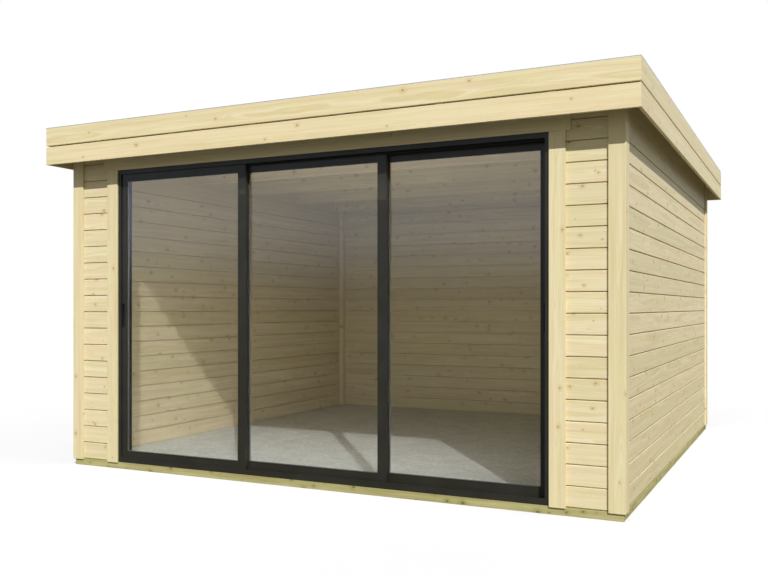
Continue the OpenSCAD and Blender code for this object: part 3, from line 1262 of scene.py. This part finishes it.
@dataclass
class SlidingDoor:
    """The aluminium frame and its three sashes, with glass, seals and pulls."""

    coat: bpy.types.Material
    glass: bpy.types.Material
    seal: bpy.types.Material
    pull: bpy.types.Material
    roller: bpy.types.Material
    bead: bpy.types.Material
    bite: float = 9 * MM
    seal_wide: float = 1.2 * MM
    seal_deep: float = 3 * MM
    bead_wide: float = 2 * MM
    bead_back: float = 1 * MM
    ring_ease: float = 0.3
    brush_thick: float = 3 * MM
    # How far the black brushes hang below the sashes' tops, partly as painted shade in the track
    # cavity
    brush_past: float = 23 * MM
    brush_ease: float = 0.8 * MM

    def build(self) -> None:
        """Finishes the metal and the glass, and adds the seals, beads and brushes."""
        for node in ("door_sill", "door_head", "door_jambs"):
            paint_node(node, self.coat)
        # Black brush strips: partly real pile seals, partly painted shade for the dark track
        # cavity in the head
        dress(self.brushes(), self.seal)
        for side, body in (("left", Body.LEFT), ("middle", Body.MIDDLE), ("right", Body.RIGHT)):
            paint_node("sash_" + side, self.coat)
            paint_node("glass_" + side, self.glass)
            paint_node("rollers_" + side, self.roller)
            dress(self.front_seal(side), self.seal, body)
            dress(self.beads(side), self.bead, body)
        paint_node("pull_left", self.pull)
        paint_node("pull_right", self.pull)

    def ring(self, name: str, side: str, wide: float, near: float, far: float) -> Piece:
        """A square-cornered ring along the edge of the glass that shows.

        Args:
            name: the new piece's name.
            side: "left", "middle" or "right".
            wide: the ring's width, in from the sash's profiles.
            near: its front, on Y.
            far: its back, on Y.

        Returns:
            The ring.
        """
        low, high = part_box("glass_" + side)
        ring = block(
            name,
            (low.x + self.bite, near, low.z + self.bite),
            (high.x - self.bite, far, high.z - self.bite),
        )
        edit(ring, "FACE", lambda f: round(abs(f.normal.y)) == 1)
        bpy.ops.mesh.inset(thickness=wide, depth=0)
        bpy.ops.mesh.bridge_edge_loops()
        done()
        return ease_edges(ring, self.ring_ease * wide, 1)

    def front_seal(self, side: str) -> Piece:
        """The rubber seal in front of a pane, just behind the sash's face.

        Args:
            side: "left", "middle" or "right".

        Returns:
            The seal.
        """
        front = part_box("glass_" + side)[0].y
        near = front - self.seal_deep
        return self.ring("glazing_seal_" + side, side, self.seal_wide, near, front)

    def beads(self, side: str) -> Piece:
        """The glazing beads that line the sash behind a pane.

        Args:
            side: "left", "middle" or "right".

        Returns:
            The beads as one ring.
        """
        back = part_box("glass_" + side)[1].y
        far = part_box("sash_" + side)[1].y - self.bead_back
        return self.ring("glazing_beads_" + side, side, self.bead_wide, back, far)

    def brushes(self) -> Piece:
        """The two black brush strips that hang from the head between the tracks.
        They are partly real pile seals and partly painted shade: their black stands
        in for the dark of the track cavity above the sashes.

        Returns:
            The strips as one piece.
        """
        boxes = [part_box("sash_" + side) for side in ("left", "middle", "right")]
        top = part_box("door_jambs")[1].z
        strips = []
        for before, behind in zip(boxes, boxes[1:]):
            y = (before[1].y + behind[0].y) / 2
            strip = block(
                "track_brush",
                (boxes[0][0].x, y - self.brush_thick / 2, before[1].z - self.brush_past),
                (boxes[2][1].x, y + self.brush_thick / 2, top),
            )
            strips.append(ease_edges(strip, self.brush_ease, 1))
        return join("shading_track_brushes", strips)


@dataclass(frozen=True)
class SoftLamp:
    """A weak, very soft lamp inside the shed, which isn't seen or mirrored."""

    name: str
    place: tuple[float, float, float]
    turn: float
    size: tuple[float, float]
    power: float
    colour: tuple[float, float, float] = (1.0, 0.94, 0.82)

    def add(self) -> None:
        """Adds the lamp to the scene."""
        bpy.ops.object.light_add(type="AREA", location=self.place, rotation=(self.turn, 0, 0))
        lamp = bpy.context.active_object
        lamp.name = self.name
        lamp.data.energy = self.power
        lamp.data.color = self.colour
        lamp.data.shape = "RECTANGLE"
        lamp.data.size, lamp.data.size_y = self.size
        lamp.visible_camera = lamp.visible_glossy = lamp.visible_transmission = False


@dataclass
class Studio:
    """A plain pale floor, soft light from the right front, and the camera."""

    camera_at: Vector = Vector((2.771, -6.506, 1.1075))
    camera_yaw: float = math.radians(26.127)
    sensor_mm: float = 36.0
    lens_mm: float = 40.946
    shift_y: float = 0.02485
    clip_end: float = 500.0
    sun_at: tuple[float, float, float] = (6, -6, 6)
    sun_travel: Vector = Vector((-0.742, 1.0, -0.998))
    sun_strength: float = 4.0
    sun_size: float = math.radians(0.3)
    sun_colour: tuple[float, float, float] = (1.0, 0.985, 0.95)
    floor_size: float = 400.0
    floor_shown: str = "#E8EAF2"
    floor_thrown: str = "#6E6E69"
    backdrop: str = "#FFFFFF"
    backdrop_strength: float = 1.0
    fill: str = "#F8F5EA"
    fill_strength: float = 0.49
    mirrored: str = "#E4EEFF"
    mirrored_strength: tuple[float, float] = (0.2, 1.3)
    mirrored_rise: float = 0.1
    # Behind the panes, for daylight through the glass, and under the roof
    lamps: tuple[SoftLamp, ...] = (
        SoftLamp("window_fill", (0, -1.65, 1.1), math.radians(110), (2.6, 1.6), 12.5),
        SoftLamp("ceiling_fill", (0, 0, 0.25), math.pi, (3.2, 3.2), 4.5),
    )

    def build(self) -> None:
        """Adds the floor, the lights and the camera."""
        self.add_floor()
        self.add_sun()
        for lamp in self.lamps:
            lamp.add()
        self.add_surround()
        self.add_camera()
        view = bpy.context.scene.view_settings
        view.view_transform = "Standard"
        view.look = "None"

    def add_floor(self) -> None:
        """A wide pale floor, which throws back less light than it shows."""
        bpy.ops.object.select_all(action="DESELECT")
        bpy.ops.mesh.primitive_plane_add(size=self.floor_size, location=(0, 0, 0))
        floor = bpy.context.active_object
        floor.name = "studio_floor"
        made, tree, _ = new_material("studio_floor")
        shown = add_node(tree, "BsdfDiffuse", {"Color": self.floor_shown})[0]
        thrown = add_node(tree, "BsdfDiffuse", {"Color": self.floor_thrown})[0]
        seen = add_node(tree, "LightPath")["Is Camera Ray"]
        finish_with(tree, add_node(tree, "MixShader", {0: seen, 1: thrown, 2: shown})[0])
        paint(floor, made)

    def add_sun(self) -> None:
        """The key light, from the right front."""
        bpy.ops.object.light_add(type="SUN", location=self.sun_at)
        sun = bpy.context.active_object
        sun.name = "key_light"
        sun.data.energy = self.sun_strength
        sun.data.angle = self.sun_size
        sun.data.color = self.sun_colour
        sun.rotation_euler = self.sun_travel.to_track_quat("-Z", "Y").to_euler()

    def add_surround(self) -> None:
        """An even pale surround.

        What it mirrors falls off towards the floor's tone at the horizon, so that
        no line shows across the glass.
        """
        world = bpy.data.worlds.new("studio")
        world.use_nodes = True
        tree = world.node_tree
        tree.nodes.clear()
        path = add_node(tree, "LightPath")
        surround = {"Color": self.fill, "Strength": self.fill_strength}
        surround = add_node(tree, "Background", surround)[0]
        height = add_node(tree, "TexCoord")["Generated"]
        height = add_node(tree, "SeparateXYZ", {"Vector": height})["Z"]
        low, high = self.mirrored_strength
        mirrored = {"Value": height, "From Max": self.mirrored_rise, "To Min": low, "To Max": high}
        mirrored = add_node(tree, "MapRange", mirrored, interpolation_type="SMOOTHSTEP")[0]
        for ray, colour, strength in (
            ("Is Glossy Ray", self.mirrored, mirrored),
            ("Is Camera Ray", self.backdrop, self.backdrop_strength),
        ):
            other = add_node(tree, "Background", {"Color": colour, "Strength": strength})[0]
            surround = {0: path[ray], 1: surround, 2: other}
            surround = add_node(tree, "MixShader", surround)[0]
        add_node(tree, "OutputWorld", {"Surface": surround})
        bpy.context.scene.world = world

    def add_camera(self) -> None:
        """The camera, level and a little above a person's waist."""
        bpy.ops.object.camera_add(
            location=self.camera_at, rotation=(math.pi / 2, 0, self.camera_yaw)
        )
        camera = bpy.context.active_object
        camera.name = "camera"
        camera.data.sensor_width = self.sensor_mm
        camera.data.lens = self.lens_mm
        camera.data.shift_y = self.shift_y
        camera.data.clip_end = self.clip_end
        bpy.context.scene.camera = camera


def main() -> None:
    """Makes the finishes, builds each sub-assembly and sets the studio up."""
    logging.basicConfig(level=logging.INFO, format="%(message)s")
    boards = Softwood(
        "planed_spruce",
        early="#E4DAB9",
        warm="#DBCDA5",
        late="#C3AE7C",
        rosy="#E0CCAE",
        green="#D9D3A0",
    ).material()
    trim = Softwood(
        "selected_spruce",
        early="#E5DAB7",
        warm="#DCCEA4",
        late="#C8B381",
        rosy="#E5D1B2",
        green="#DFD8A6",
        knot_gap_mm=150.0,
    ).material()
    treated = Softwood(
        "treated_pine",
        early="#C6C08C",
        warm="#B4AD77",
        late="#887F4D",
        rosy="#B5A778",
        green="#A7A56A",
        knot="#5F4C2A",
        knot_rim="#7E6F42",
        knot_gap_mm=62.0,
        knot_mm=8.0,
        ring_share=0.5,
        rough=0.75,
    ).material()
    Base(treated, FibreCement().material()).build()
    Walls(boards).build()
    Trim(trim).build()
    Roof(
        boards,
        Rubber("epdm_membrane", "#2B2C2D", "#4A4A47", rough=0.7, cloud_mm=620.0).material(),
        BareMetal("mill_aluminium").material(),
    ).build()
    Fascia(trim).build()
    SlidingDoor(
        coat=PowderCoat().material(),
        glass=TintedGlass().material(),
        seal=Rubber("epdm_seal", "#111111", "#1E1E1D").material(),
        pull=PowderCoat("black_powder_coat", "#1B1B1C", rough=0.36).material(),
        roller=BareMetal("turned_steel", "#A8A9AA", rough=0.3).material(),
        bead=Rubber("grey_glazing_bead", "#5C5E5C", "#666865", rough=0.6).material(),
    ).build()
    Studio().build()


if __name__ == "__main__":
    main()
